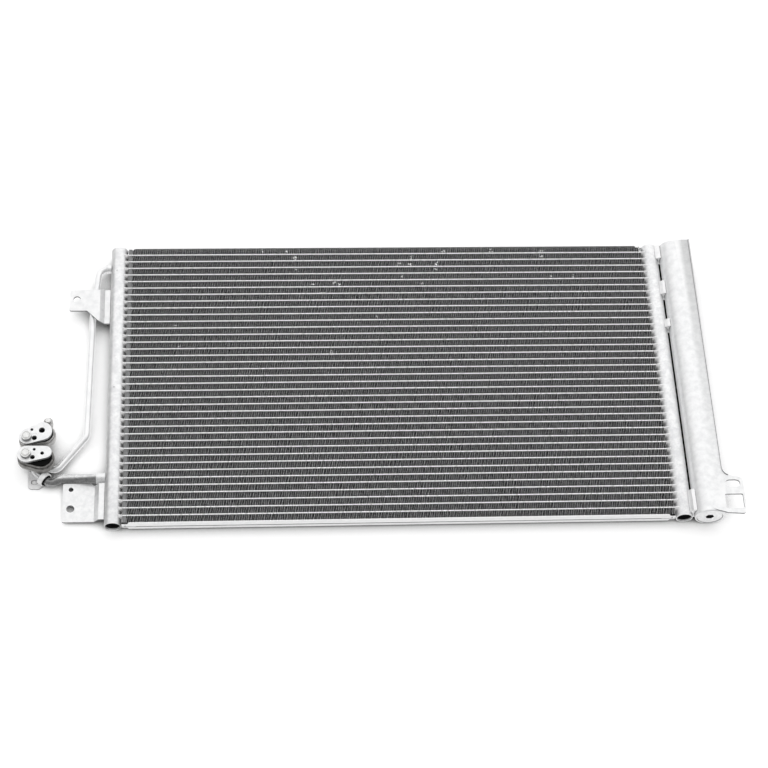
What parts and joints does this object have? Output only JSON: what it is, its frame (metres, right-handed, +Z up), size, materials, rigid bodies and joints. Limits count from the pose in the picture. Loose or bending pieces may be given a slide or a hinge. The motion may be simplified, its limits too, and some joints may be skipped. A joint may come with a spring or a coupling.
{
  "type": "air conditioning condenser",
  "caption": "Parallel flow air conditioning condenser in bare aluminium, with a receiver-drier, sheet brackets and a pipe set ending in capped block fittings",
  "frame": {"origin": "on the surface that the part lies on, under the middle of its bounding box", "axes": "+X from the pipe side to the receiver side, +Y up the core from the lower side plate to the upper one, +Z up through the core's depth"},
  "size_m": [0.8504, 0.3898, 0.0393],
  "materials": {
    "header_aluminium": "satin",
    "tube_aluminium": "satin",
    "sheet_aluminium": "satin",
    "pipe_aluminium": "satin",
    "machined_aluminium": "satin",
    "plated_steel": "satin",
    "black_rubber": "matt",
    "end_cap_aluminium": "matt",
    "felt_bag": "matt",
    "filter_nylon": "matt"
  },
  "bodies": {
    "root": {"tube_bank_01": "tube_aluminium", "tube_bank_02": "tube_aluminium", "tube_bank_03": "tube_aluminium", "tube_bank_04": "tube_aluminium", "tube_bank_05": "tube_aluminium", "tube_bank_06": "tube_aluminium", "tube_bank_07": "tube_aluminium", "tube_bank_08": "tube_aluminium", "tube_bank_09": "tube_aluminium", "tube_bank_10": "tube_aluminium", "tube_bank_11": "tube_aluminium", "tube_bank_12": "tube_aluminium", "tube_bank_13": "tube_aluminium", "tube_bank_14": "tube_aluminium", "tube_bank_15": "tube_aluminium", "tube_bank_16": "tube_aluminium", "tube_bank_17": "tube_aluminium", "tube_bank_18": "tube_aluminium", "tube_bank_19": "tube_aluminium", "left_header": "header_aluminium", "right_header": "header_aluminium", "left_header_upper_cap": "end_cap_aluminium", "left_header_lower_cap": "end_cap_aluminium", "right_header_upper_cap": "end_cap_aluminium", "right_header_lower_cap": "end_cap_aluminium", "left_lower_baffle": "end_cap_aluminium", "left_upper_baffle": "end_cap_aluminium", "right_lower_baffle": "end_cap_aluminium", "right_upper_baffle": "end_cap_aluminium", "upper_side_plate": "sheet_aluminium", "lower_side_plate": "sheet_aluminium", "receiver_body": "sheet_aluminium", "receiver_top_cap": "machined_aluminium", "receiver_plug": "machined_aluminium", "plug_seal": "black_rubber", "receiver_filter": "filter_nylon", "desiccant_bag": "felt_bag", "upper_saddle": "sheet_aluminium", "outlet_bridge": "sheet_aluminium", "inlet_bridge": "sheet_aluminium", "lower_saddle": "sheet_aluminium", "upper_left_bracket": "sheet_aluminium", "lower_left_bracket": "sheet_aluminium", "upper_pipe": "pipe_aluminium", "lower_pipe": "pipe_aluminium", "upper_pipe_ferrule": "machined_aluminium", "lower_pipe_ferrule": "machined_aluminium", "upper_fitting": "machined_aluminium", "lower_fitting": "machined_aluminium", "upper_fitting_cover": "sheet_aluminium", "lower_fitting_cover": "sheet_aluminium", "upper_fitting_seal": "black_rubber", "lower_fitting_seal": "black_rubber", "upper_cover_screw": "plated_steel", "lower_cover_screw": "plated_steel", "pipe_clamp": "sheet_aluminium", "clamp_liner": "black_rubber", "lug_bolt": "plated_steel"}
  },
  "joints": []
}
